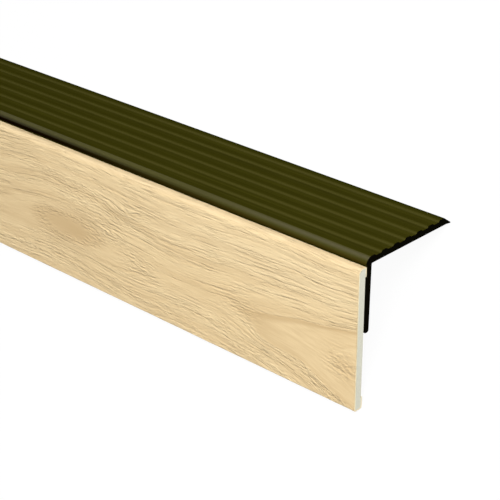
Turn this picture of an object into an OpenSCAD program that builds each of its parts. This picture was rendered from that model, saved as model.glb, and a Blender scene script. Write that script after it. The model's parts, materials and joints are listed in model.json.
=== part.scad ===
// Stair nosing stock: a ribbed L-profile whose leg carries a wood-decor riser strip.
// The section is drawn as fitted on a step: the origin is the inner corner of the L,
// the first axis runs back over the tread and the second axis runs up.
// The finished stock is then tipped on its two free edges, as it lies on a floor like a ridge.

/* [Stock] */
// Length of the stock
stock_length = 900; // [300:50:3000]

/* [Tread] */
// Depth of the tread from the nose to the back edge
tread_depth = 50.5; // [40:0.5:90]
// Thickness of the tread under a groove
tread_base = 2.4; // [1.6:0.1:4]
// Height of the ribs above the groove floor
rib_height = 0.7; // [0.3:0.05:1.5]
// Flat width on top of a rib
rib_top = 2.25; // [1:0.05:4]
// Run of a rib's steep side, which faces the nose
rib_front_run = 0.6; // [0.2:0.05:1.5]
// Run of a rib's gentle side, which faces the back edge
rib_back_run = 1.1; // [0.2:0.05:2]
// Flat width of a groove floor
groove_floor = 2.9; // [1:0.05:5]
// Depth of the smooth land behind the nose
nose_land = 4.75; // [4:0.05:10]
// Rounding of the rib and groove edges
edge_round = 0.3; // [0.1:0.05:0.5]
// Run of the bevel that falls to the back edge
bevel_run = 4.3; // [3:0.1:8]
// Thickness of the back edge
back_edge = 0.4; // [0.2:0.05:0.8]
// How far the back edge droops below the underside
droop = 0.4; // [0.1:0.05:1]
// Run over which the underside droops
droop_run = 2.5; // [1.5:0.1:2.8]

/* [Nose and leg] */
// Radius of the nose
nose_round = 3.6; // [2:0.1:3.9]
// Thickness of the leg at its root
leg_root = 3.4; // [2.5:0.1:5]
// How much thinner the leg is at its foot
leg_taper = 0.4; // [0:0.05:0.8]
// Drop of the leg below the underside of the tread
leg_drop = 28; // [15:0.1:50]
// Fillet in the inner corner
inner_round = 0.5; // [0.2:0.05:1.5]

/* [Riser strip] */
// Height of the riser strip
strip_height = 59.5; // [40:0.5:160]
// Level of the strip's top below the underside of the tread
strip_drop = 0.3; // [0.2:0.05:1]
// Thickness of the core board
core_thickness = 3; // [2:0.1:6]
// Thickness of the decor sheet
wrap_thickness = 0.7; // [0.3:0.05:1]
// Length of the decor sheet's return on the back at the top
return_top = 4.2; // [2.5:0.1:10]
// Length of the decor sheet's return on the back at the bottom
return_bottom = 5; // [2.5:0.1:10]
// Inner radius of the fold along the top of the face
face_fold = 1.3; // [0.5:0.05:1.5]
// Inner radius of the other three folds
tight_fold = 0.2; // [0.1:0.05:0.5]
// Clearance below the top return in its seat
seat_gap = 0.15; // [0.05:0.05:0.3]
// Open joint between the strip's top and the nose above it
shadow_gap = 0.6; // [0.2:0.05:1]

/* [Hidden] */

// Chords in a rounded corner, and in the quarter round of the nose
corner_steps = 6;
nose_steps = 16;

// Tread levels and the groove pattern
tread_top = tread_base + rib_height;
groove_width = rib_back_run + groove_floor + rib_front_run;
rib_pitch = groove_width + rib_top;
nose_y = -leg_root;
back_y = nose_y + tread_depth;
last_land = 1.5;
groove_room = tread_depth - bevel_run - last_land - nose_land - groove_width;
groove_count = 1 + floor(groove_room / rib_pitch);

// Riser strip levels
strip_top = -strip_drop;
strip_foot = strip_top - strip_height;
core_back = nose_y;
core_front = core_back - core_thickness;
face_y = core_front - wrap_thickness;
return_y = core_back + wrap_thickness;
outer_tight = tight_fold + wrap_thickness;
outer_face = face_fold + wrap_thickness;
// Corners of the core are cut back past the inside of each fold
fold_relief = 0.1;
wide_relief = face_fold + fold_relief;
tight_relief = tight_fold + fold_relief;

// Seat for the top return: the nose hooks over it and the leg's shoulder runs below it
hook_z = strip_top + shadow_gap;
shoulder_z = strip_top - return_top - seat_gap;
foot_thickness = leg_root - leg_taper;
foot_front_round = 0.55 * foot_thickness;
foot_back_round = 0.3 * foot_thickness;

// Resting pose: the floor touches the back edge of the tread and the fold at the strip's foot
tread_contact = [back_y, -droop];
fold_centre = [return_y - outer_tight, strip_foot + outer_tight];
front_fold_centre = [face_y + outer_tight, strip_foot + outer_tight];
span = tread_contact - fold_centre;
rest_angle = atan2(span[1], span[0]) + asin(outer_tight / norm(span));
function rest_y(p) = p[0] * cos(rest_angle) + p[1] * sin(rest_angle);
function rest_z(p) = p[1] * cos(rest_angle) - p[0] * sin(rest_angle);
rest_back = rest_y(tread_contact + [0, back_edge]);
rest_front = rest_y(front_fold_centre) - outer_tight;
rest_shift = [0, -(rest_back + rest_front) / 2, -rest_z(tread_contact)];

// Outlines are lists of [y, z, radius]; each corner with a radius becomes an arc
function flat(p) = [p[0], p[1]];
function unit(v) = v / norm(v);
function corner_arc(before, corner, after) =
    let (
        p = flat(corner),
        u = unit(flat(before) - p),
        w = unit(flat(after) - p),
        half = acos(u * w) / 2,
        centre = p + unit(u + w) * corner[2] / sin(half),
        start = p + u * corner[2] / tan(half) - centre,
        turn = sign(cross(u, w)) * -(180 - 2 * half),
        first = atan2(start[1], start[0])
    )
    [for (k = [0:corner_steps])
        let (angle = first + turn * k / corner_steps)
        centre + corner[2] * [cos(angle), sin(angle)]];
function rounded(points) =
    let (n = len(points))
    [for (i = [0:n - 1])
        each points[i][2] > 0
            ? corner_arc(points[(i + n - 1) % n], points[i], points[(i + 1) % n])
            : [flat(points[i])]];

// One groove, drawn from back to front
function groove(front) = [
    [front + groove_width, tread_top, edge_round],
    [front + rib_back_run + groove_floor, tread_base, edge_round],
    [front + rib_back_run, tread_base, edge_round],
    [front, tread_top, edge_round],
];

// Round of the nose, from the land down to the hook over the strip
nose_centre = [nose_y + nose_round, tread_top - nose_round];
nose_low = asin(max(0, hook_z - nose_centre[1]) / nose_round);
nose_arc = [for (k = [0:nose_steps])
    let (angle = 90 - (90 - nose_low) * k / nose_steps)
    [nose_centre[0] - nose_round * cos(angle), nose_centre[1] + nose_round * sin(angle), 0]];
hook_lip = nose_centre[1] > hook_z ? [[nose_y, hook_z, 0]] : [];

// Rounding between the bevel and the last land
land_round = 0.6;

profile_outline = [
    [0, 0, inner_round],
    [back_y - droop_run, 0, 0],
    [tread_contact[0], tread_contact[1], 0],
    [back_y, back_edge - droop, 0],
    [back_y - bevel_run, tread_top, land_round],
    for (i = [groove_count - 1:-1:0]) each groove(nose_y + nose_land + i * rib_pitch),
    each nose_arc,
    each hook_lip,
    [return_y, hook_z, 0],
    [return_y, shoulder_z, 0],
    [nose_y, shoulder_z, 0],
    [nose_y, -leg_drop, foot_front_round],
    [nose_y + foot_thickness, -leg_drop, foot_back_round],
];

core_top = strip_top - wrap_thickness;
core_foot = strip_foot + wrap_thickness;
core_outline = [
    [core_back, core_top - tight_relief],
    [core_back - tight_relief, core_top],
    [core_front + wide_relief, core_top],
    [core_front, core_top - wide_relief],
    [core_front, core_foot + tight_relief],
    [core_front + tight_relief, core_foot],
    [core_back - tight_relief, core_foot],
    [core_back, core_foot + tight_relief],
];

wrap_outline = [
    [return_y, strip_top - return_top, 0],
    [return_y, strip_top, outer_tight],
    [face_y, strip_top, outer_face],
    [face_y, strip_foot, outer_tight],
    [return_y, strip_foot, outer_tight],
    [return_y, strip_foot + return_bottom, 0],
    [core_back, strip_foot + return_bottom, 0],
    [core_back, core_foot, tight_fold],
    [core_front, core_foot, tight_fold],
    [core_front, core_top, face_fold],
    [core_back, core_top, tight_fold],
    [core_back, strip_top - return_top, 0],
];

// Runs a section along the stock and lays the stock down in its resting pose
module resting_stock() {
    translate(rest_shift)
        rotate([-rest_angle, 0, 0])
            rotate([90, 0, 90])
                linear_extrude(height = stock_length, center = true)
                    children();
}

module nosing_profile() {
    color("#35320d")
        resting_stock()
            polygon(rounded(profile_outline));
}

module riser_core() {
    color("#d8d6c9")
        resting_stock()
            polygon(core_outline);
}

module decor_wrap() {
    color("#e2c99d")
        resting_stock()
            polygon(rounded(wrap_outline));
}

nosing_profile();
riser_core();
decor_wrap();
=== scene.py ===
"""Looks of the stair nosing stock: finishes, embossed wood decor, stage, light and camera."""
import json
import math

import bmesh
import bpy
from mathutils import Matrix, Vector


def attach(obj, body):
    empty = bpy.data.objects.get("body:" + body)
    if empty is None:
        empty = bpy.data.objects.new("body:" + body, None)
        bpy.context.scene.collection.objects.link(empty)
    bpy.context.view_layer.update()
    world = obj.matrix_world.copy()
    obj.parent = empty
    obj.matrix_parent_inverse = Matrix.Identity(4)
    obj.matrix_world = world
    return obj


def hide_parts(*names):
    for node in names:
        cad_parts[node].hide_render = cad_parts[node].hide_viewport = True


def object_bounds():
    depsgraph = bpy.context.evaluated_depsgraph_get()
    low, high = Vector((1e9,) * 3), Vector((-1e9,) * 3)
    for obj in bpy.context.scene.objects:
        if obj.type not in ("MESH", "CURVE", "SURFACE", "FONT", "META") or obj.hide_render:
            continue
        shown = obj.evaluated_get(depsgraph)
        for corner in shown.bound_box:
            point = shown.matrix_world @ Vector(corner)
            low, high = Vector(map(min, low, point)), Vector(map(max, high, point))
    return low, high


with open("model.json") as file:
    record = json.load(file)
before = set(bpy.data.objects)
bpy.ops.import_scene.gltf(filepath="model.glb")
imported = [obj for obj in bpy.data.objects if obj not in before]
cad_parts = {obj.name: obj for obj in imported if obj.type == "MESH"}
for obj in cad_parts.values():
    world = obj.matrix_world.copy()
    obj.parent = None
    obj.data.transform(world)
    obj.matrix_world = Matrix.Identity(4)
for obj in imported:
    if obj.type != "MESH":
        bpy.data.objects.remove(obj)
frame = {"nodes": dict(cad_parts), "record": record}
cad_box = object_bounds()

# Lengths are millimetres on the step, in the fitted frame below, unless a name says otherwise
MM = 0.001

# Camera that took the photograph, in pixels of its 500 by 500 frame
PHOTO_SIDE = 500
PHOTO_CENTRE = (250.0, 250.0)
FOCAL_PX = 1540.0
CAMERA_PITCH = math.radians(26.476)
CAMERA_AZIMUTH = math.radians(43.061)
# Pixel that shows the inner corner of the L at the near end, and the size of a pixel there
CORNER_PX = (371.8, 263.1)
MM_PER_PX = 0.358
SENSOR_MM = 36.0
CLIP_START_M = 0.01

# Spacing of the mesh: rows on the printed face, rows on plain flats, and columns along the stock
FACE_ROW = 0.26
FLAT_ROW = 3.0
PRINT_COLUMN = 3.2
PLAIN_COLUMN = 30.0
# Edges that turn more than this are sharp
SHARP_ANGLE = math.radians(32)
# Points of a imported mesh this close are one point, and points this close to its near end are on it
WELD_M = 1e-6
END_M = 1e-5


# Fitted frame: the stock as it sits on a step

def mount(name):
    """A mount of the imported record, by its name."""
    return next(m for m in frame["record"]["mounts"] if m["name"] == name)


def fitted_frame():
    """Matrix from millimetres on the step to the frame. Its origin is the inner corner at the near end."""
    tread, leg = mount("tread_underside"), mount("leg_back")
    tip = math.atan2(-tread["axis"][1], -tread["axis"][2])
    normals = Matrix((tread["axis"][1:], leg["axis"][1:]))
    levels = [Vector(m["axis"]).dot(Vector(m["pos_m"])) for m in (tread, leg)]
    corner = normals.inverted() @ Vector(levels)
    near_end = Vector((cad_box[1][0], corner.x, corner.y))
    turn = Matrix.Rotation(-tip, 4, "X")
    return Matrix.Translation(near_end) @ turn @ Matrix.Scale(MM, 4)


FITTED = fitted_frame()
STOCK_LENGTH = (cad_box[1][0] - cad_box[0][0]) / MM


def fitted_direction(x, y, z):
    """A direction on the step, in the frame."""
    return (FITTED.to_3x3() @ Vector((x, y, z))).normalized()


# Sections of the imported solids

def walk(rim):
    """Points of a closed ring of edges, in order."""
    neighbours = {}
    for e in rim:
        for v in e.verts:
            neighbours.setdefault(v, []).append(e.other_vert(v))
    start = rim[0].verts[0]
    loop, last, here = [start], None, start
    while True:
        step = next(v for v in neighbours[here] if v is not last)
        last, here = here, step
        if here is start:
            return loop
        loop.append(here)


def edges_of(points):
    """Edges of a closed loop, as pairs of points."""
    return list(zip(points, points[1:] + points[:1]))


def end_loop(node):
    """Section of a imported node: its outline at the near end, as an ordered loop of fitted (y, z) points."""
    bm = bmesh.new()
    bm.from_mesh(frame["nodes"][node].data)
    bmesh.ops.remove_doubles(bm, verts=bm.verts, dist=WELD_M)
    end_x = max(v.co.x for v in bm.verts) - END_M
    caps = {f for f in bm.faces if all(v.co.x > end_x for v in f.verts)}
    rim = [e for e in bm.edges if sum(f in caps for f in e.link_faces) == 1]
    to_fitted = FITTED.inverted()
    points = [(to_fitted @ v.co).yz for v in walk(rim)]
    bm.free()
    area = sum(a.cross(b) for a, b in edges_of(points))
    return points if area > 0 else points[::-1]


def outward(a, b):
    """Outward normal of a loop's edge."""
    return Vector((b.y - a.y, a.x - b.x)).normalized()


def refine(points, row):
    """Splits each edge of a loop into pieces no longer than row(a, b)."""
    out = []
    for a, b in edges_of(points):
        pieces = max(1, math.ceil((b - a).length / row(a, b)))
        out += [a.lerp(b, k / pieces) for k in range(pieces)]
    return out


def girths(points, level_at):
    """Distance of each point round its loop, counted so that it equals the height at one point."""
    out = [0.0]
    for a, b in edges_of(points)[:-1]:
        out.append(out[-1] - (b - a).length)
    shift = points[level_at].y - out[level_at]
    return [g + shift for g in out]


# Pieces

def new_object(name, bm):
    """Object in the scene with the mesh that was built."""
    mesh = bpy.data.meshes.new(name)
    bm.to_mesh(mesh)
    bm.free()
    made = bpy.data.objects.new(name, mesh)
    bpy.context.scene.collection.objects.link(made)
    return made


def add_rings(bm, points, column, level_at, printed):
    """Rings of points along the stock, one for each column.

    Each point stores its place: along the stock, round the loop, and 1 where it is on printed edges only.
    It also stores where it is in the fitted frame.
    """
    columns = math.ceil(STOCK_LENGTH / column)
    girth = girths(points, level_at)
    flags = [printed(a, b) for a, b in edges_of(points)]
    place = bm.verts.layers.float_vector.new("place")
    fitted = bm.verts.layers.float_vector.new("fitted")
    rings = []
    for k in range(columns + 1):
        x = -STOCK_LENGTH * k / columns
        ring = []
        for i, p in enumerate(points):
            v = bm.verts.new(FITTED @ Vector((x, p.x, p.y)))
            v[place] = (x, girth[i], float(flags[i] and flags[i - 1]))
            v[fitted] = (x, p.x, p.y)
            ring.append(v)
        rings.append(ring)
    return rings


def add_faces(bm, rings, materials):
    """Sides between the rings, and the two cut ends, which are returned and have a material of their own."""
    for near, far in zip(rings, rings[1:]):
        for i, index in enumerate(materials):
            j = (i + 1) % len(materials)
            face = bm.faces.new((near[j], near[i], far[i], far[j]))
            face.material_index = index
            face.smooth = True
    ends = [bm.faces.new(rings[0]), bm.faces.new(rings[-1][::-1])]
    for face in ends:
        face.material_index = max(materials) + 1
    return ends


def run_loop(name, points, column, shown, level_at=0, printed=lambda a, b: False):
    """Piece made of a loop run along the stock. shown(a, b) is the material index of the side on an edge."""
    bm = bmesh.new()
    rings = add_rings(bm, points, column, level_at, printed)
    ends = add_faces(bm, rings, [shown(a, b) for a, b in edges_of(points)])
    rim = {e for face in ends for e in face.edges}
    bm.normal_update()
    for e in bm.edges:
        e.smooth = e not in rim and e.calc_face_angle(0) < SHARP_ANGLE
    bmesh.ops.triangulate(bm, faces=ends)
    return new_object(name, bm)


def finish_piece(piece, node, materials):
    """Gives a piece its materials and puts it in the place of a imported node."""
    for m in materials:
        piece.data.materials.append(m)
    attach(piece, "root")
    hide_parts(node)


# Node building

class Nodes:
    """Short ways to add nodes to a shader or geometry tree. A value is a number, a colour or a socket."""

    # Places of a mix node's colours among its sockets
    MIX_A, MIX_B, MIX_RESULT = 6, 7, 2

    def __init__(self, tree):
        self.tree = tree

    def add(self, kind, inputs=(), **settings):
        """New node with its settings and inputs."""
        node = self.tree.nodes.new(kind)
        for key, value in settings.items():
            setattr(node, key, value)
        for key, value in dict(inputs).items():
            self.put(node.inputs[key], value)
        return node

    def put(self, socket, value):
        """Links a socket to another one, or sets its number or colour."""
        if isinstance(value, bpy.types.NodeSocket):
            self.tree.links.new(value, socket)
        else:
            socket.default_value = value

    def math(self, operation, a, b=0.0, c=0.0):
        return self.add("ShaderNodeMath", {0: a, 1: b, 2: c}, operation=operation).outputs[0]

    def times(self, a, b):
        return self.math("MULTIPLY", a, b)

    def plus(self, *values):
        out = values[0]
        for value in values[1:]:
            out = self.math("ADD", out, value)
        return out

    def scaled(self, value, factor, offset=0.0):
        return self.math("MULTIPLY_ADD", value, factor, offset)

    def rest_of(self, share):
        """What a share leaves of 1."""
        return self.scaled(share, -1.0, 1.0)

    def vector(self, x, y, z=0.0):
        return self.add("ShaderNodeCombineXYZ", {0: x, 1: y, 2: z}).outputs[0]

    def split(self, vector):
        return self.add("ShaderNodeSeparateXYZ", {0: vector}).outputs

    def noise(self, x, y, z=0.0, detail=1.0):
        """Noise from 0 to 1 with a feature about one unit across."""
        inputs = {"Vector": self.vector(x, y, z), "Scale": 1.0, "Detail": detail}
        return self.add("ShaderNodeTexNoise", inputs).outputs[0]

    def streaks(self, x, y, length, width, seed, detail=1.0):
        """Noise with features of a length along x and a width along y. Each seed gives another one."""
        return self.noise(self.times(x, 1 / length), self.times(y, 1 / width), seed, detail)

    def specks(self, point, sizes, detail):
        """Noise with a feature size along each axis."""
        x, y, z = [self.times(value, 1 / size) for value, size in zip(point, sizes)]
        return self.noise(x, y, z, detail)

    def swing(self, noise, width):
        """Noise made wider, so that it swings about 0."""
        return self.scaled(noise, width, -width / 2)

    def step(self, value, low, high, to_low=0.0, to_high=1.0):
        """Smooth step of a value between two levels."""
        inputs = {0: value, 1: low, 2: high, 3: to_low, 4: to_high}
        return self.add("ShaderNodeMapRange", inputs, interpolation_type="SMOOTHSTEP").outputs[0]

    def mix(self, share, a, b):
        """Colour between a and b."""
        inputs = {0: share, self.MIX_A: a, self.MIX_B: b}
        return self.add("ShaderNodeMix", inputs, data_type="RGBA").outputs[self.MIX_RESULT]

    def ellipse(self, x, y, spot):
        """Squared distance from a spot's middle, 1 on its ellipse."""
        dx = self.math("DIVIDE", self.math("SUBTRACT", x, spot[0]), spot[2])
        dy = self.math("DIVIDE", self.math("SUBTRACT", y, spot[1]), spot[3])
        return self.math("MULTIPLY_ADD", dx, dx, self.times(dy, dy))

    def hill(self, x, y, spot):
        """Bell over a spot, with the spot's own height."""
        return self.times(self.math("EXPONENT", self.times(self.ellipse(x, y, spot), -1.0)), spot[4])

    def hills(self, x, y, spots):
        """Sum of the bells over spots."""
        return self.plus(*[self.hill(x, y, spot) for spot in spots])


# Wood decor: the grain of a plank, worked out from its growth rings

# Level of the plank's heart line on the face, at distances along the stock from the near end
HEART = [
    (-900, -36), (-800, -35), (-715, -40), (-640, -37), (-560, -41), (-455, -37), (-380, -41),
    (-300, -37), (-215, -38.5), (-162, -35.6), (-115, -38), (-60, -37.4), (-12, -41.5), (0, -42.5),
]
HEART_LOW, HEART_HIGH = -50.0, -30.0
# Rings turn round the heart line within this distance, and single fibres turn more gently
HEART_ROUND = 2.5
FIBRE_ROUND = 45.0
# How far the rings are pushed out from the heart line, at distances along the stock
# A hump closes them round an eye, and a long rise opens them to an arch
CREST = [
    (-900, 3), (-800, 6), (-715, 3), (-640, 14), (-560, 1), (-455, 6), (-380, 3), (-300, 10), (-225, 1),
    (-162, 2.5), (-123, 3.5), (-88, 0.8), (-60, 2.6), (-45, 4.5), (-30, 8.4), (-12, 16.1), (0, 22.7),
]
CREST_LOW, CREST_HIGH = 0.0, 28.0
# The crest bends the rings near the heart line most
CREST_REACH = 32.0

# Spots are places along and round the sheet, with half sizes and a strength
# Eyes part the grain round a smooth brown heart, which has a rim of crowded pores
EYES = [(-160, -35.2, 21.5, 6.0, 5.0), (-455, -38, 26, 7, 6), (-800, -35.5, 30, 7.5, 7)]
# The grain parts in a wider spot than the eye itself
EYE_SPREAD = 1.5
# Swells widen an arch on one side
SWELLS = [(-44, -46.5, 14, 5, 5.0), (-625, -46, 18, 5, 5.0)]
# Small knots push the grain aside
KNOTS = [
    (-123, -17.4, 9, 3.6, 3.0), (-348, -44, 8, 3, 3.0), (-590, -20, 10, 3.5, 3.0), (-742, -47, 9, 3, 3.0),
]
# Brown smears
SMEARS = [
    (-50, -37.4, 9, 3.6, 0.75), (-20, -56, 18, 4, 0.35), (-9, -29, 8, 4, 0.4), (-153, -36.5, 8, 3, 0.4),
    (-5, -43, 8, 5.5, 0.9), (-128, -20, 8, 4, 0.4), (-203, -32.5, 10, 3.5, 0.5), (-149, -28, 12, 2.5, 0.4),
    (-185, -13, 22, 8, 0.18), (-97, -34, 26, 8, 0.15), (-640, -38, 20, 5, 0.6), (-300, -38, 16, 5, 0.5),
]
# Creamy places along the top
CREAMS = [(-20, -13, 95, 9, 0.3), (-420, -14, 80, 9, 0.3), (-680, -13, 90, 9, 0.3)]
# Patches of crowded pores
STIPPLES = [
    (-58, -37.5, 10, 5, 0.75), (-7, -42, 8, 6, 1.0), (-133, -29, 9, 5, 1.0), (-118, -39, 10, 5, 1.0),
    (-117, -17, 9, 5, 0.5), (-148, -17, 20, 6, 0.5), (-420, -38, 14, 6, 0.8), (-640, -38, 18, 6, 0.8),
]
# Calm places without pores
CALM = [
    (-82, -38.5, 14, 3.6, 0.9), (-193, -39, 12, 5, 1.0), (-131, -41, 9, 3.2, 0.8), (-166, -27, 16, 3, 0.6),
    (-245, -36, 20, 5, 0.9), (-545, -37, 22, 5, 0.9), (-700, -38, 16, 4, 0.9),
]

# Fields are noises: length along the grain, width across it, seed, and detail where it isn't 1
# Drift and ripple bend the grain by so much
DRIFT_FIELD, DRIFT = (75, 16, 3.7), 3.0
RIPPLE_FIELD, RIPPLE = (20, 3.5, 9.1), 0.8
BAND_FIELD = (40, 4, 2.0)
QUIET_FIELD = (26, 4.5, 8.0)
WAVE_FIELD = (15, 1.6, 12.0)
DASH_FIELD = (2.6, 0.9, 21.0)
FIBRE_FIELD = (9, 0.45, 31.0, 2.0)
TONE_FIELD = (70, 5, 47.0, 3.0)
# Lines of pores run where such a noise crosses its middle
LONG_LINES = (55, 2.3, 4.0)
FINE_LINES = (15, 1.5, 14.0)
NOISE_MIDDLE = 0.5

# Steps go smoothly from 0 at one level to 1 at another, or between two more numbers
# A line's step is over the distance of its noise from the middle
LINE_STEP = (0.06, 0.015)
# Lines fade in and out with a noise that is so many times shorter and narrower
FADE_SHORTER, FADE_NARROWER, FADE_SEED = 1.8, 1.2, 5
FADE_STEP = (0.38, 0.6, 0.15, 1.0)
# An eye's smooth heart, its tan surroundings and the part without arches, over squared distance
EYE_HEART_STEP, EYE_TAN_STEP, EYE_CLEAR_STEP = (0.7, 0.05), (1.7, 0.7), (9.0, 4.0)
# Pores are open outside the hearts of the rings, less in quiet stretches
OPEN_STEP = (-2.0, 0.8)
QUIET_STEP = (0.36, 0.58, 0.35, 1.25)
# Dashes crowd in bands of rings, more along the foot of the face, and in patches and the rims of eyes
BAND_STEP = (0.36, 0.58, 0.45, 1.0)
FOOT_STEP = (-44.0, -51.0)
PLAIN_CROWD, FOOT_CROWD, PATCH_CROWD, RIM_CROWD = 0.18, 0.3, 0.75, 0.65
# A dark limb runs along the ring that bounds a heart, mostly above the heart line
LIMB_OUTSIDE, LIMB_INSIDE = (0.2, -0.8), (-3.2, -1.3)
LIMB_SIDE = (-2.0, 2.0, 0.35, 1.0)
# Brown stain of an eye
HEART_STAIN, TAN_STAIN = 0.4, 0.85

# Height of each part of the grain in the relief, and the level about which they stand
LONG_HEIGHT, FINE_HEIGHT, DASH_HEIGHT, FIBRE_HEIGHT = -0.45, -0.26, 4.2, 0.1
WAVE_HEIGHT, FOOT_WAVE_HEIGHT = 0.3, 0.4
RELIEF_LEVEL = -0.9
# Depth that a height of -1 stands for, in the mesh and, stronger, in the shader
RELIEF = 0.08
PRINT_BUMP = 0.42


def curve_along(n, along, points, low, high):
    """Value of a smooth curve through points along the stock."""
    curve = n.add("ShaderNodeFloatCurve", {0: 1.0})
    line = curve.mapping.curves[0]
    knots = [(1 + place / STOCK_LENGTH, (value - low) / (high - low)) for place, value in points]
    line.points[0].location = knots[0]
    line.points[1].location = knots[-1]
    for x, y in knots[1:-1]:
        line.points.new(x, y)
    curve.mapping.update()
    n.put(curve.inputs[1], n.scaled(along, 1 / STOCK_LENGTH, 1.0))
    return n.scaled(curve.outputs[0], high - low, low)


def widened(spot, factor):
    """A spot with larger half sizes."""
    x, y, half_x, half_y, strength = spot
    return (x, y, factor * half_x, factor * half_y, strength)


def rounded_side(n, off, rounding):
    """Distance from a line on either side of it, rounded at the line."""
    return n.math("SQRT", n.math("MULTIPLY_ADD", off, off, rounding ** 2))


def growth_rings(n, along, girth):
    """Distance across the growth rings, below 0 in the hearts.

    With it come two distances with a sign: lines follow the first, and single fibres follow the second.
    """
    level = n.plus(girth, n.swing(n.streaks(along, girth, *DRIFT_FIELD), DRIFT))
    off = n.math("SUBTRACT", level, curve_along(n, along, HEART, HEART_LOW, HEART_HIGH))
    side = rounded_side(n, off, HEART_ROUND)
    fade = n.math("EXPONENT", n.times(n.times(side, side), -1 / CREST_REACH ** 2))
    crest = n.times(curve_along(n, along, CREST, CREST_LOW, CREST_HIGH), fade)
    partings = [widened(eye, EYE_SPREAD) for eye in EYES]
    crest = n.plus(crest, n.hills(along, girth, partings + SWELLS))
    rings = n.math("SUBTRACT", side, crest)
    flow = n.times(n.math("DIVIDE", off, side), rings)
    gentle = n.math("DIVIDE", off, rounded_side(n, off, FIBRE_ROUND))
    fibre = n.math("SUBTRACT", off, n.times(crest, gentle))
    ripple = n.swing(n.streaks(along, girth, *RIPPLE_FIELD), RIPPLE)
    bend = n.plus(ripple, n.hills(along, girth, KNOTS))
    return n.plus(rings, bend), n.plus(flow, bend), n.plus(fibre, bend)


def pore_lines(n, along, flow, length, width, seed):
    """Long thin lines that follow the grain and fade in and out: 1 in the middle of a line."""
    field = n.streaks(along, flow, length, width, seed)
    fade = n.streaks(along, flow, length / FADE_SHORTER, width / FADE_NARROWER, seed + FADE_SEED)
    thin = n.step(n.math("ABSOLUTE", n.plus(field, -NOISE_MIDDLE)), *LINE_STEP)
    return n.times(thin, n.step(fade, *FADE_STEP))


def oak_grain(n, along, girth):
    """Parts of the wood pattern. Dashes swing about 0, and the other parts go up from 0."""
    rings, flow, fibre = growth_rings(n, along, girth)
    eyes = [n.ellipse(along, girth, spot) for spot in EYES]
    heart = n.plus(*[n.step(eye, *EYE_HEART_STEP) for eye in eyes])
    tan = n.plus(*[n.step(eye, *EYE_TAN_STEP) for eye in eyes])
    near_eye = n.plus(*[n.step(eye, *EYE_CLEAR_STEP) for eye in eyes])
    calm = n.plus(heart, n.hills(along, girth, CALM))
    quiet = n.step(n.streaks(along, flow, *QUIET_FIELD), *QUIET_STEP)
    open_grain = n.times(n.times(n.step(rings, *OPEN_STEP), n.rest_of(calm)), quiet)
    foot = n.step(girth, *FOOT_STEP)
    bands = n.step(n.streaks(along, rings, *BAND_FIELD), *BAND_STEP)
    common = n.times(n.times(open_grain, bands), n.scaled(foot, FOOT_CROWD, PLAIN_CROWD))
    rim = n.times(tan, n.rest_of(heart))
    patches = n.plus(n.times(rim, RIM_CROWD), n.hills(along, girth, STIPPLES))
    crowd = n.math("MINIMUM", n.plus(n.times(patches, PATCH_CROWD), common), 1.0)
    dashes = n.plus(n.streaks(along, fibre, *DASH_FIELD), -NOISE_MIDDLE)
    limb = n.times(n.step(rings, *LIMB_OUTSIDE), n.step(rings, *LIMB_INSIDE))
    limb = n.times(n.times(limb, n.rest_of(near_eye)), n.step(fibre, *LIMB_SIDE))
    smears = n.hills(along, girth, SMEARS)
    return {
        "waves": n.times(n.streaks(along, flow, *WAVE_FIELD), open_grain),
        "foot": foot,
        "long_pores": n.times(pore_lines(n, along, flow, *LONG_LINES), open_grain),
        "fine_pores": n.times(pore_lines(n, along, flow, *FINE_LINES), open_grain),
        "dashes": n.times(dashes, crowd),
        "fibres": n.streaks(along, fibre, *FIBRE_FIELD),
        "tone": n.streaks(along, flow, *TONE_FIELD),
        "stain": n.plus(n.times(heart, HEART_STAIN), n.times(tan, TAN_STAIN), smears),
        "limb": limb,
    }


def oak_relief(n, grain):
    """Height of the embossed face, in parts of the relief's depth. Nearly all of it is below 0."""
    pores = n.plus(n.times(grain["long_pores"], LONG_HEIGHT), n.times(grain["fine_pores"], FINE_HEIGHT))
    dashes = n.times(grain["dashes"], DASH_HEIGHT)
    waves = n.times(grain["waves"], n.scaled(grain["foot"], FOOT_WAVE_HEIGHT, WAVE_HEIGHT))
    return n.plus(pores, dashes, waves, n.scaled(grain["fibres"], FIBRE_HEIGHT, RELIEF_LEVEL))


def emboss(piece):
    """Presses the relief of the wood decor into the printed points of a mesh, and raises none of them."""
    tree = bpy.data.node_groups.new("embossed_grain", "GeometryNodeTree")
    tree.interface.new_socket("Geometry", in_out="INPUT", socket_type="NodeSocketGeometry")
    tree.interface.new_socket("Geometry", in_out="OUTPUT", socket_type="NodeSocketGeometry")
    n = Nodes(tree)
    source = n.add("NodeGroupInput")
    place = n.add("GeometryNodeInputNamedAttribute", {"Name": "place"}, data_type="FLOAT_VECTOR")
    along, girth, printed = n.split(place.outputs["Attribute"])
    relief = n.math("MINIMUM", oak_relief(n, oak_grain(n, along, girth)), 0.0)
    depth = n.times(n.times(relief, printed), RELIEF * MM)
    _, across, up = n.split(n.add("GeometryNodeInputNormal").outputs[0])
    offset = n.add("ShaderNodeVectorMath", {0: n.vector(0.0, across, up), "Scale": depth}, operation="SCALE")
    moved = n.add("GeometryNodeSetPosition", {"Geometry": source.outputs[0], "Offset": offset.outputs[0]})
    result = n.add("NodeGroupOutput")
    n.put(result.inputs[0], moved.outputs[0])
    piece.modifiers.new("embossed_grain", "NODES").node_group = tree


# Materials

def srgb(r, g, b):
    """Linear colour of an 8-bit display colour."""
    def linear(c):
        c /= 255
        return c / 12.92 if c <= 0.04045 else ((c + 0.055) / 1.055) ** 2.4
    return (linear(r), linear(g), linear(b), 1.0)


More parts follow.
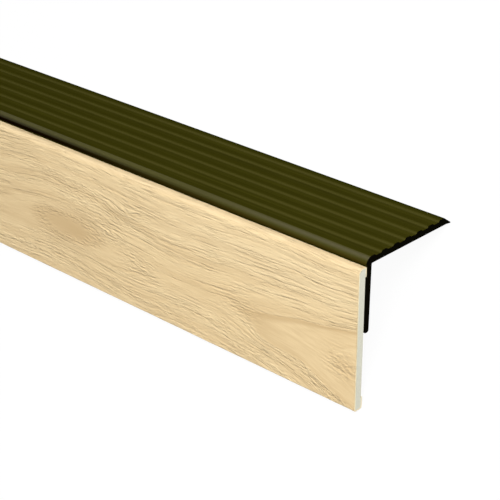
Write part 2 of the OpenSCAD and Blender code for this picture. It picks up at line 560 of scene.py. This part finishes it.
def new_material(name, colour, rough, specular):
    """Material with its main shader set, and the node helper for its tree."""
    m = bpy.data.materials.new(name)
    m.use_nodes = True
    shader = m.node_tree.nodes["Principled BSDF"]
    shader.inputs["Base Color"].default_value = colour
    shader.inputs["Roughness"].default_value = rough
    shader.inputs["Specular IOR Level"].default_value = specular
    return m, Nodes(m.node_tree), shader


def read(n, name):
    """The three numbers that the points of a piece store under a name."""
    return n.split(n.add("ShaderNodeAttribute", attribute_name=name).outputs["Vector"])


def bump(n, shader, height, depth):
    """Adds small relief of a depth in millimetres to a shader."""
    node = n.add("ShaderNodeBump", {"Strength": 1.0, "Distance": depth * MM, "Height": height})
    n.put(shader.inputs["Normal"], node.outputs[0])


# Oak print

OAK_PAINTED_HIGHLIGHT = (0.92, 0.73, 0.43, 1)
OAK_FOLD_SHADE = (0.70, 0.55, 0.33, 1)
OAK_CREAM = (0.86, 0.72, 0.46, 1)
OAK_PALE = (0.84, 0.652, 0.375, 1)
OAK_MID = (0.735, 0.552, 0.306, 1)
OAK_DARK = (0.61, 0.435, 0.225, 1)
OAK_PORE = (0.46, 0.32, 0.16, 1)
# A painted highlight in a band below the top fold, and painted shade that dulls the fold itself, by their
# levels round the sheet
HIGHLIGHT_RISES, HIGHLIGHT_ENDS = (-10.0, -3.0, 0.0, 0.3), (-0.3, -2.3)
FOLD_SHADE_STEP = (-1.9, -0.7, 0.0, 0.7)
# How the parts of the grain colour the print
TONE_STEP = (0.3, 0.7)
FIBRE_STEP = (0.35, 0.7, 0.0, 0.35)
# Painted highlight on the ridges of the waves
WAVE_HIGHLIGHT_STEP = (0.52, 0.75, 0.0, 0.2)
DASH_STEP = (-0.05, -0.2, 0.0, 0.1)
STAIN_SHARE, LIMB_SHARE, PORE_SHARE = 0.6, 0.85, 0.18


def make_oak_print():
    """Wood print with embossed pores, a painted highlight below the top and on wave ridges, and painted shade
    on the top fold.
    """
    m, n, shader = new_material("oak_print", OAK_MID, rough=0.6, specular=0.15)
    along, girth, _ = read(n, "place")
    grain = oak_grain(n, along, girth)
    layers = [
        # Painted highlight in a band below the top fold
        (n.times(n.step(girth, *HIGHLIGHT_RISES), n.step(girth, *HIGHLIGHT_ENDS)), OAK_PAINTED_HIGHLIGHT),
        (n.hills(along, girth, CREAMS), OAK_CREAM),
        # Painted shade on the top fold, where it faces the lamps
        (n.step(girth, *FOLD_SHADE_STEP), OAK_FOLD_SHADE),
        (n.times(grain["stain"], STAIN_SHARE), OAK_DARK),
        (n.step(grain["fibres"], *FIBRE_STEP), OAK_DARK),
        (n.times(grain["limb"], LIMB_SHARE), OAK_DARK),
        # Painted highlight on the ridges of the waves
        (n.step(grain["waves"], *WAVE_HIGHLIGHT_STEP), OAK_PAINTED_HIGHLIGHT),
        (n.step(grain["dashes"], *DASH_STEP), OAK_PORE),
        (n.times(grain["long_pores"], PORE_SHARE), OAK_PORE),
    ]
    colour = n.mix(n.step(grain["tone"], *TONE_STEP), OAK_MID, OAK_PALE)
    for share, layer in layers:
        colour = n.mix(share, colour, layer)
    n.put(shader.inputs["Base Color"], colour)
    bump(n, shader, oak_relief(n, grain), PRINT_BUMP)
    return m


# Plastic of the profile

SKIN_DEEP, SKIN_PALE = srgb(44, 42, 8), srgb(56, 54, 12)
# Fine lines along the profile from the die, and slow clouds, as fields
DIE_FIELD = (160, 0.35, 5.0, 2.0)
CLOUD_FIELD = (30, 6, 15.0, 3.0)
DIE_SHARE = 0.6
SKIN_STEP = (0.3, 0.7)
DIE_DEPTH = 0.01
# The tops of the ribs are trodden darker
TRODDEN = srgb(45, 43, 6)
TRODDEN_STEP = (2.6, 3.0, 0.0, 0.7)
# Painted highlight on the ribs, along the sides that face the nose, and a little ahead of them
RIB_PAINTED_HIGHLIGHT = srgb(63, 60, 23)
RIB_HIGHLIGHT_STEP = (0.85, 0.15)
RIB_HIGHLIGHT_AHEAD = 0.4
RIB_HIGHLIGHT_LEVEL_STEP = (2.2, 2.35)
# The land behind the last rib front is darker, from so far behind it, and on top only
LAST_LAND = srgb(38, 39, 5)
LAND_STARTS, LAND_FULL = 1.0, 1.9
LAND_LEVEL_STEP = (0.5, 1.0)


def skin(n):
    """Through-coloured plastic with fine lines from the die: its colour, and the height of the lines."""
    along, girth, _ = read(n, "place")
    die_lines = n.streaks(along, girth, *DIE_FIELD)
    cloud = n.streaks(along, girth, *CLOUD_FIELD)
    shade = n.plus(n.times(die_lines, DIE_SHARE), n.times(cloud, 1 - DIE_SHARE))
    return n.mix(n.step(shade, *SKIN_STEP), SKIN_DEEP, SKIN_PALE), die_lines


def from_nearest(n, value, first, pitch):
    """Distance from the nearest of evenly spaced places."""
    turns = n.scaled(value, 1 / pitch, 0.5 - first / pitch)
    return n.times(n.math("ABSOLUTE", n.plus(n.math("FRACT", turns), -0.5)), pitch)


def make_skin(fronts):
    """Matt face of the profile: its rib tops trodden darker, and a painted highlight along the rib fronts.
    Their fronts are evenly spaced.
    """
    m, n, shader = new_material("profile_skin", SKIN_DEEP, rough=0.6, specular=0.0)
    colour, die_lines = skin(n)
    _, y, z = read(n, "fitted")
    colour = n.mix(n.step(z, *TRODDEN_STEP), colour, TRODDEN)
    land = n.step(y, fronts[-1] + LAND_STARTS, fronts[-1] + LAND_FULL)
    colour = n.mix(n.times(land, n.step(z, *LAND_LEVEL_STEP)), colour, LAST_LAND)
    # Painted highlight along the rib fronts and a little ahead of them, on the top only
    from_front = from_nearest(n, y, fronts[0] - RIB_HIGHLIGHT_AHEAD, fronts[1] - fronts[0])
    rib_highlight = n.times(n.step(from_front, *RIB_HIGHLIGHT_STEP), n.step(z, *RIB_HIGHLIGHT_LEVEL_STEP))
    n.put(shader.inputs["Base Color"], n.mix(rib_highlight, colour, RIB_PAINTED_HIGHLIGHT))
    bump(n, shader, die_lines, DIE_DEPTH)
    return m


# The round of the nose has a warm sheen
NOSE_SHEEN = (1.0, 0.88, 0.22, 1.0)
# Painted shade lies in the joint below it, by height and along the stock, less at the near end
NOSE_PAINTED_SHADE = srgb(6, 2, 0)
JOINT_SHADE_LEVEL_STEP = (3.0, 1.3)
JOINT_SHADE_STEP = (-10.0, -190.0)
# A painted sheen makes the nose greyer and lighter towards the near end, between a top and a foot
NOSE_PAINTED_SHEEN = srgb(61, 58, 39)
SHEEN_TOP_STEP, SHEEN_FOOT_STEP = (3.0, 2.65), (1.4, 2.6)
SHEEN_ALONG_STEP = (-110.0, -15.0)


def make_nose():
    """Satin round of the nose, with painted shade over the joint and a painted sheen towards the near end."""
    m, n, shader = new_material("profile_nose", SKIN_DEEP, rough=0.42, specular=0.17)
    shader.inputs["Specular Tint"].default_value = NOSE_SHEEN
    colour, die_lines = skin(n)
    x, _, z = read(n, "fitted")
    # Painted shade in the joint below the nose, fuller away from the near end
    joint_shade = n.times(n.step(z, *JOINT_SHADE_LEVEL_STEP), n.step(x, *JOINT_SHADE_STEP))
    colour = n.mix(joint_shade, colour, NOSE_PAINTED_SHADE)
    # Painted sheen over the nose's highlight band, stronger towards the near end
    painted_sheen = n.times(n.step(z, *SHEEN_TOP_STEP), n.step(z, *SHEEN_FOOT_STEP))
    painted_sheen = n.times(painted_sheen, n.step(x, *SHEEN_ALONG_STEP))
    n.put(shader.inputs["Base Color"], n.mix(painted_sheen, colour, NOSE_PAINTED_SHEEN))
    bump(n, shader, die_lines, DIE_DEPTH)
    return m


# Colours of the lip from its top to its foot, all painted light and shade: lit at the near end, and darkest
# where the painted shade is full
LIP_LIT_TOP, LIP_LIT_FOOT = srgb(60, 55, 20), srgb(50, 42, 8)
LIP_SHADED_TOP, LIP_SHADED_FOOT = srgb(20, 14, 1), srgb(9, 2, 0)
LIP_STEP = (1.5, 0.6)


def make_lip():
    """Lip of the nose over the joint, matt, its colour painted light and shade that darkens towards its foot
    and away from the near end.
    """
    m, n, shader = new_material("profile_lip", LIP_SHADED_FOOT, rough=0.6, specular=0.0)
    _, die_lines = skin(n)
    x, _, z = read(n, "fitted")
    # Painted shade: darker towards the foot of the lip, and away from the near end
    low = n.step(z, *LIP_STEP)
    near = n.mix(low, LIP_LIT_TOP, LIP_LIT_FOOT)
    far = n.mix(low, LIP_SHADED_TOP, LIP_SHADED_FOOT)
    n.put(shader.inputs["Base Color"], n.mix(n.step(x, *JOINT_SHADE_STEP), near, far))
    bump(n, shader, die_lines, DIE_DEPTH)
    return m


# Scratches of a saw on a cut end: features in a millimetre along y and z, lengthwise and across
SAW_LENGTHWISE, SAW_ACROSS = (0.3, 0.5), (3.0, -5.0)
SAW_SEED, SAW_DETAIL = 7.0, 2.0


def saw_marks(n):
    """Slanted scratches of a saw across a cut end."""
    _, y, z = read(n, "fitted")
    lengthwise = n.scaled(z, SAW_LENGTHWISE[1], n.times(y, SAW_LENGTHWISE[0]))
    across = n.scaled(y, SAW_ACROSS[0], n.times(z, SAW_ACROSS[1]))
    return n.noise(lengthwise, across, SAW_SEED, SAW_DETAIL)


SKIN_CUT_DEEP, SKIN_CUT_PALE = srgb(6, 5, 3), srgb(12, 11, 5)
SKIN_CUT_STEP = (0.35, 0.65)
SKIN_CUT_DEPTH = 0.02


def make_profile_cut():
    """Sawn end of the profile, darker than its skin."""
    m, n, shader = new_material("profile_cut", SKIN_CUT_DEEP, rough=0.6, specular=0.0)
    marks = saw_marks(n)
    n.put(shader.inputs["Base Color"], n.mix(n.step(marks, *SKIN_CUT_STEP), SKIN_CUT_DEEP, SKIN_CUT_PALE))
    bump(n, shader, marks, SKIN_CUT_DEPTH)
    return m


# Board and sheet of the riser strip

FOAM_DEEP, FOAM_PALE = srgb(193, 192, 174), srgb(211, 210, 194)
# Cells of the foam, and slow clouds on its faces: feature size along each axis
FOAM_CELL_SIZES, FOAM_CLOUD_SIZES = (0.4, 0.4, 0.4), (12, 3, 8)
FOAM_STEP = (0.3, 0.65)
FOAM_DEPTH = 0.05


def make_foam(name, sawn):
    """Foamed board with fine cells, and saw marks on a cut end."""
    m, n, shader = new_material(name, FOAM_PALE, rough=0.75, specular=0.2)
    point = read(n, "fitted")
    cells = n.specks(point, FOAM_CELL_SIZES, detail=2.0)
    marks = saw_marks(n) if sawn else n.specks(point, FOAM_CLOUD_SIZES, detail=3.0)
    texture = n.times(n.plus(cells, marks), 1 / 2)
    n.put(shader.inputs["Base Color"], n.mix(n.step(texture, *FOAM_STEP), FOAM_DEEP, FOAM_PALE))
    bump(n, shader, texture, FOAM_DEPTH)
    return m


SHEET_BODY, SHEET_MOTTLE, SHEET_GLUE = srgb(234, 224, 190), srgb(222, 212, 180), srgb(196, 188, 160)
MOTTLE_SIZES = (4, 1.5, 1.5)
MOTTLE_STEP = (0.35, 0.65)
SHEET_DEPTH = 0.02
# Layers through a cut sheet, from 0 on its inner side to 1 on its printed side
PRINT_LAYER, GLUE_LAYER = (0.76, 0.88), (0.18, 0.08)


def make_sheet(name, sawn):
    """Cream body of the decor sheet. A cut end shows its layers: print, body and glue."""
    m, n, shader = new_material(name, SHEET_BODY, rough=0.6, specular=0.3)
    mottle = n.specks(read(n, "fitted"), MOTTLE_SIZES, detail=3.0)
    colour = n.mix(n.step(mottle, *MOTTLE_STEP), SHEET_MOTTLE, SHEET_BODY)
    if sawn:
        _, _, layer = read(n, "place")
        colour = n.mix(n.step(layer, *PRINT_LAYER), colour, OAK_MID)
        colour = n.mix(n.step(layer, *GLUE_LAYER), colour, SHEET_GLUE)
    n.put(shader.inputs["Base Color"], colour)
    bump(n, shader, mottle, SHEET_DEPTH)
    return m


# The ribbed profile

# The nose is above the underside, in front of this place, and faces the front at least this much
NOSE_BACK = 0.6
NOSE_FACING = -0.25
# Its lip faces up less than this
LIP_FACING = math.cos(math.radians(58))
# The steep side of a rib faces the front at least this much, and is longer than its roundings' chords
RIB_FACING = -0.5
RIB_SIDE = 0.25


def profile_zone(a, b):
    """Material of an edge of the profile: 1 on the round of the nose, 2 on its lip, 0 elsewhere."""
    middle, normal = (a + b) / 2, outward(a, b)
    if middle.y < 0 or middle.x > NOSE_BACK or normal.x > NOSE_FACING:
        return 0
    return 1 if normal.y > LIP_FACING else 2


def rib_fronts(points):
    """Places of the rib sides that face the nose, from the nose to the back."""
    steep = [e for e in edges_of(points) if outward(*e).x < RIB_FACING and (e[1] - e[0]).length > RIB_SIDE]
    middles = [(a + b) / 2 for a, b in steep]
    return sorted(p.x for p in middles if p.y > 0 and p.x > NOSE_BACK)


profile_loop = end_loop("nosing_profile")
profile = run_loop("ribbed_profile", profile_loop, PLAIN_COLUMN, profile_zone)
finish_piece(profile, "nosing_profile", [
    make_skin(rib_fronts(profile_loop)),
    make_nose(),
    make_lip(),
    make_profile_cut(),
])


# The riser strip

core_loop = end_loop("riser_core")
core = run_loop("core_board", core_loop, PLAIN_COLUMN, lambda a, b: 0)
finish_piece(core, "riser_core", [make_foam("foam_face", False), make_foam("foam_cut", True)])

core_low = Vector(map(min, zip(*core_loop)))
core_high = Vector(map(max, zip(*core_loop)))
MIDDLE_Y = (core_low.x + core_high.x) / 2
HALF_BOARD = (core_high.x - core_low.x) / 2
# An edge on the printed side faces away from the middle of the board by at least this distance
PRINT_MARGIN = 0.1
# Digits to which points of the flat face agree
FACE_DIGITS = 3


def on_print(a, b):
    """Whether an edge of the folded sheet is on its printed side."""
    middle = (a + b) / 2
    level = min(max(middle.y, core_low.y + HALF_BOARD), core_high.y - HALF_BOARD)
    return outward(a, b).dot(middle - Vector((MIDDLE_Y, level))) > PRINT_MARGIN


def off_print(a, b):
    """Material of an edge of the folded sheet: 0 on the print, 1 elsewhere."""
    return int(not on_print(a, b))


def wrap_row(a, b):
    """Row spacing on the folded sheet: fine on the face and its folds, coarser on the rest."""
    on_face = on_print(a, b) and min(a.x, b.x) < core_low.x + HALF_BOARD
    return FACE_ROW if on_face else FLAT_ROW


def top_of_face(points):
    """Number of the highest point on the flat of the face."""
    return min(range(len(points)), key=lambda i: (round(points[i].x, FACE_DIGITS), -points[i].y))


wrap_loop = refine(end_loop("decor_wrap"), wrap_row)
wrap = run_loop("oak_wrap", wrap_loop, PRINT_COLUMN, off_print, top_of_face(wrap_loop), on_print)
finish_piece(wrap, "decor_wrap", [
    make_oak_print(),
    make_sheet("sheet_back", False),
    make_sheet("sheet_cut", True),
])
emboss(wrap)


# Stage

WHITE = (1, 1, 1, 1)
FLOOR_HALF_M = 6.0
FLOOR_PAINT = (0.9, 0.9, 0.9, 1)
# Share of the seen floor that is plain white. The rest keeps the shadow
FLOOR_GLOW = 0.95
WORLD_LIGHT = 0.2
# Lamps stand round this place on the stock
LAMP_TARGET = (-120, 0, -20)


def seen_rays(n):
    """1 for rays that show the background, also by mirrors and through glass, and 0 for rays that light."""
    path = n.add("ShaderNodeLightPath").outputs
    seen = n.plus(path["Is Camera Ray"], path["Is Glossy Ray"], path["Is Transmission Ray"])
    return n.math("MINIMUM", seen, 1.0)


def make_floor():
    """White floor that keeps a faint shadow."""
    bm = bmesh.new()
    bmesh.ops.create_grid(bm, x_segments=1, y_segments=1, size=FLOOR_HALF_M)
    floor = new_object("floor", bm)
    m, n, shader = new_material("white_floor", FLOOR_PAINT, rough=0.9, specular=0.0)
    glow = n.add("ShaderNodeEmission", {"Color": WHITE, "Strength": 1.0})
    share = n.times(seen_rays(n), FLOOR_GLOW)
    mix = n.add("ShaderNodeMixShader", {0: share, 1: shader.outputs[0], 2: glow.outputs[0]})
    n.put(m.node_tree.nodes["Material Output"].inputs["Surface"], mix.outputs[0])
    floor.data.materials.append(m)


def make_world():
    """Surroundings that look white and light the stock softly."""
    world = bpy.data.worlds.new("studio")
    bpy.context.scene.world = world
    world.use_nodes = True
    n = Nodes(world.node_tree)
    back = world.node_tree.nodes["Background"]
    back.inputs["Color"].default_value = WHITE
    n.put(back.inputs["Strength"], n.scaled(seen_rays(n), 1.0 - WORLD_LIGHT, WORLD_LIGHT))


def area_light(name, toward, distance_m, size_m, watts, mirrored):
    """Soft square lamp that stands in a fitted direction from the near part of the stock."""
    data = bpy.data.lights.new(name, "AREA")
    data.shape = "SQUARE"
    data.size = size_m
    data.energy = watts
    lamp = bpy.data.objects.new(name, data)
    direction = fitted_direction(*toward)
    lamp.location = FITTED @ Vector(LAMP_TARGET) + direction * distance_m
    lamp.rotation_mode = "QUATERNION"
    lamp.rotation_quaternion = direction.to_track_quat("Z", "Y")
    lamp.visible_glossy = mirrored
    bpy.context.scene.collection.objects.link(lamp)


make_floor()
make_world()
area_light("key", (0.45, -0.62, 0.64), distance_m=0.95, size_m=0.4, watts=10.2, mirrored=False)
area_light("top", (-0.55, -0.22, 0.80), distance_m=2.4, size_m=1.2, watts=16.5, mirrored=True)


# Camera

def make_camera():
    """The photograph's camera: its view is set on the step, and it tips with the stock."""
    away = Vector((-math.sin(CAMERA_AZIMUTH), math.cos(CAMERA_AZIMUTH), 0))
    view = away * math.cos(CAMERA_PITCH) - Vector((0, 0, math.sin(CAMERA_PITCH)))
    right = Vector((math.cos(CAMERA_AZIMUTH), math.sin(CAMERA_AZIMUTH), 0))
    up = right.cross(view)
    depth = FOCAL_PX * MM_PER_PX
    dx = (CORNER_PX[0] - PHOTO_CENTRE[0]) * MM_PER_PX
    dy = (CORNER_PX[1] - PHOTO_CENTRE[1]) * MM_PER_PX
    place = -(view * depth + right * dx - up * dy)
    turn = FITTED.to_3x3().normalized()
    axes = Matrix((turn @ right, turn @ up, turn @ -view)).transposed()
    data = bpy.data.cameras.new("camera")
    data.sensor_width = SENSOR_MM
    data.lens = SENSOR_MM * FOCAL_PX / PHOTO_SIDE
    data.clip_start = CLIP_START_M
    camera = bpy.data.objects.new("camera", data)
    camera.matrix_world = Matrix.Translation(FITTED @ place) @ axes.to_4x4()
    bpy.context.scene.collection.objects.link(camera)
    bpy.context.scene.camera = camera


make_camera()
bpy.context.scene.view_settings.view_transform = "Standard"
